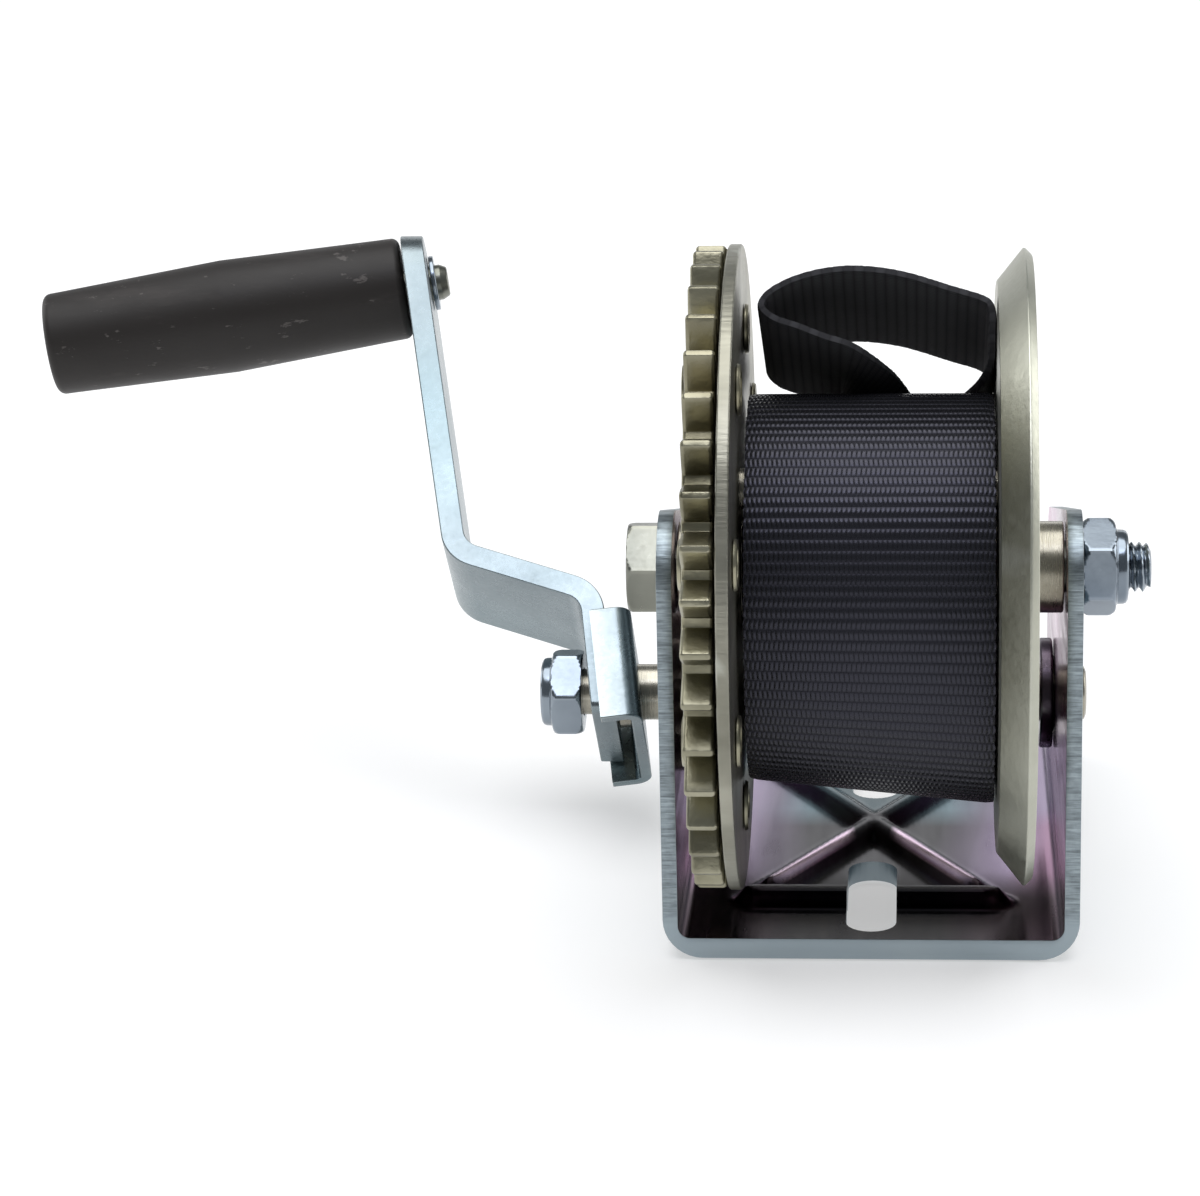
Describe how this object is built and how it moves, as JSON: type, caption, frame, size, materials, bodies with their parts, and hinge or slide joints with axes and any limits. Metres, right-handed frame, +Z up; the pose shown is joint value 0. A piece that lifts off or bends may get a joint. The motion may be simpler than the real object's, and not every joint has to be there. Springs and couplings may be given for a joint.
{
  "type": "boat trailer winch",
  "caption": "Hand winch for a boat trailer: bent zinc frame, geared drum with black webbing strap, pinion shaft and cranked handle with a free-turning grip.",
  "frame": {"origin": "centre of the frame's flat underside", "axes": "+Z up from the trailer post, +X along the drum axis towards its lock nut, +Y towards the pinion shaft"},
  "size_m": [0.2434, 0.2024, 0.1382],
  "materials": {
    "frame_zinc": "blue-white zinc plate outside, iridescent purple inside",
    "crank_zinc": "bright blue-white zinc plate",
    "gear_zinc": "rough olive-yellow zinc",
    "flange_zinc": "satin pale zinc",
    "nut_zinc": "bright blue zinc",
    "bolt_zinc": "bright pale yellow zinc",
    "turned_steel": "turned steel",
    "dark_steel": "dark plated steel",
    "webbing": "woven polyester webbing with a faint blue sheen",
    "grip_plastic": "moulded, slightly scuffed",
    "nylon": "plain nylon"
  },
  "bodies": {
    "frame": {"frame": "frame_zinc", "drum_bolt": "bolt_zinc", "drum_lock_nut": "nut_zinc", "drum_nut_insert": "nylon", "drum_spacer_tube": "turned_steel", "shaft_bush_left": "turned_steel", "shaft_bush_right": "turned_steel", "pawl_pin": "bolt_zinc", "pawl_spring": "turned_steel", "pawl_pin_clip": "dark_steel"},
    "drum": {"drum_gear": "gear_zinc", "left_flange": "flange_zinc", "right_flange": "flange_zinc", "drum_core": "turned_steel", "strap_anchor_pin": "turned_steel", "strap_roll": "webbing", "strap_tail": "webbing", "flange_rivet_1": "gear_zinc", "flange_rivet_2": "gear_zinc", "flange_rivet_3": "gear_zinc", "flange_rivet_4": "gear_zinc", "flange_rivet_5": "gear_zinc", "flange_rivet_6": "gear_zinc", "flange_rivet_7": "gear_zinc", "flange_rivet_8": "gear_zinc"},
    "crank": {"pinion_shaft": "turned_steel", "shaft_collar": "dark_steel", "shaft_end_washer": "nut_zinc", "crank_bracket": "crank_zinc", "crank_sleeve": "turned_steel", "crank_arm": "crank_zinc", "crank_lock_nut": "nut_zinc", "crank_nut_insert": "nylon", "grip_pin": "bolt_zinc", "grip_pin_washer": "nut_zinc"},
    "grip": {"grip": "grip_plastic"},
    "pawl": {"pawl": "dark_steel"}
  },
  "joints": [
    {"name": "drum_spin", "type": "hinge", "parent": "frame", "child": "drum", "pos_m": [0, -0.042, 0.0747], "axis": [1, 0, 0], "continuous": true},
    {"name": "crank_spin", "type": "hinge", "parent": "frame", "child": "crank", "pos_m": [0, 0.0175, 0.029], "axis": [1, 0, 0], "continuous": true},
    {"name": "grip_spin", "type": "hinge", "parent": "crank", "child": "grip", "pos_m": [-0.10355, 0.08482, 0.10376], "axis": [-0.9845, -0.1173, -0.1303], "continuous": true},
    {"name": "pawl_swing", "type": "hinge", "parent": "frame", "child": "pawl", "pos_m": [0, 0.044, 0.0432], "axis": [-1, 0, 0], "range_deg": [0, 30], "stiffness_Nm_per_rad": 0.02, "springref_deg": -22.92}
  ],
  "couplings": [
    {"joint": "crank_spin", "follows": "drum_spin", "ratio": -4}
  ]
}
